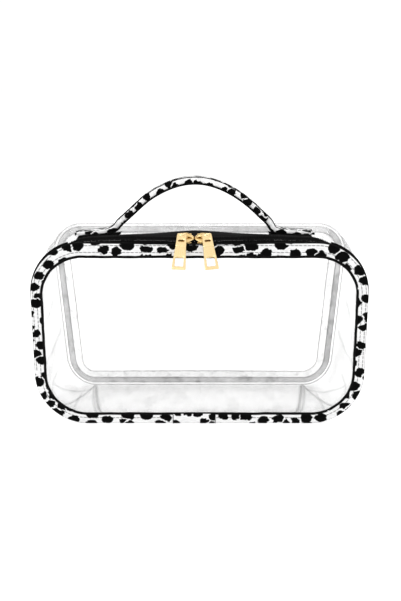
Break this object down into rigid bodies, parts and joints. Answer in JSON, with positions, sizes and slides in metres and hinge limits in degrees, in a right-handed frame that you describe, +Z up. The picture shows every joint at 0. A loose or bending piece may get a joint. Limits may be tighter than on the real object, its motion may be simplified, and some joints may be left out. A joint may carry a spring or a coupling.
{
  "type": "makeup bag",
  "caption": "Clear box-shaped makeup bag with printed edge binding, a two-way zip across the top front edge and a short strap handle.",
  "frame": {"origin": "middle of the underside of the bounding box, on the surface the bag stands on", "axes": "+Z up, +X to the right across the front, the front panel faces -Y"},
  "size_m": [0.24, 0.0975, 0.179],
  "materials": {
    "clear_sheet": "clear soft vinyl sheet, glossy",
    "clear_gusset": "clear soft vinyl sheet, glossy, creased",
    "clear_seam_tape": "clear folded seam tape, puckered",
    "printed_tape": "white woven tape printed with black spots",
    "printed_strap": "white woven strap printed with black spots",
    "zip_tape": "black woven zip tape",
    "zip_teeth": "black nylon coil",
    "black_lining": "black woven lining",
    "gold_slider": "plated, pale gold, polished",
    "gold_pull": "plated, pale gold, polished"
  },
  "bodies": {
    "bag": {"front_panel": "clear_sheet", "back_panel": "clear_sheet", "side_gusset": "clear_gusset", "front_binding": "printed_tape", "binding_overlap": "printed_tape", "back_binding": "clear_seam_tape", "front_zipper_tape": "zip_tape", "front_zipper_teeth": "zip_teeth"},
    "top_flap": {"top_panel": "clear_sheet", "rear_zipper_tape": "zip_tape", "rear_zipper_teeth": "zip_teeth", "handle_tab_left": "printed_strap", "handle_tab_right": "printed_strap", "handle_patch_left": "black_lining", "handle_patch_right": "black_lining"},
    "handle": {"handle_strap": "printed_strap", "handle_lining": "black_lining"},
    "slider_left": {"left_slider_body": "gold_slider", "left_slider_bridge": "gold_slider"},
    "slider_right": {"right_slider_body": "gold_slider", "right_slider_bridge": "gold_slider"},
    "pull_left": {"left_pull": "gold_pull"},
    "pull_right": {"right_pull": "gold_pull"}
  },
  "joints": [
    {"name": "mouth_open", "type": "hinge", "parent": "bag", "child": "top_flap", "pos_m": [0, 0.04725, 0.13775], "axis": [-1, 0, 0], "range_deg": [0, 14], "deforming": ["rear_zipper_tape", "rear_zipper_teeth"]},
    {"name": "left_slider_slide", "type": "slide", "parent": "bag", "child": "slider_left", "axis": [-1, 0, 0], "range_m": [0, 0.0755]},
    {"name": "right_slider_slide", "type": "slide", "parent": "bag", "child": "slider_right", "axis": [1, 0, 0], "range_m": [0, 0.0755]},
    {"name": "left_pull_swing", "type": "hinge", "parent": "slider_left", "child": "pull_left", "pos_m": [-0.00995, -0.02939, 0.13958], "axis": [-1, 0, 0], "range_deg": [0, 155]},
    {"name": "right_pull_swing", "type": "hinge", "parent": "slider_right", "child": "pull_right", "pos_m": [0.00275, -0.02939, 0.13958], "axis": [-1, 0, 0], "range_deg": [0, 155]},
    {"name": "handle_swing", "type": "hinge", "parent": "top_flap", "child": "handle", "pos_m": [-0.0035, -0.008, 0.145], "axis": [1, 0, 0], "range_deg": [-41, 47], "stiffness_Nm_per_rad": 0.006, "deforming": ["handle_tab_left", "handle_tab_right", "handle_patch_left", "handle_patch_right"]}
  ],
  "couplings": [
    {"joint": "left_slider_slide", "follows": "mouth_open", "m_per_rad": 0.308},
    {"joint": "right_slider_slide", "follows": "mouth_open", "m_per_rad": 0.308}
  ]
}
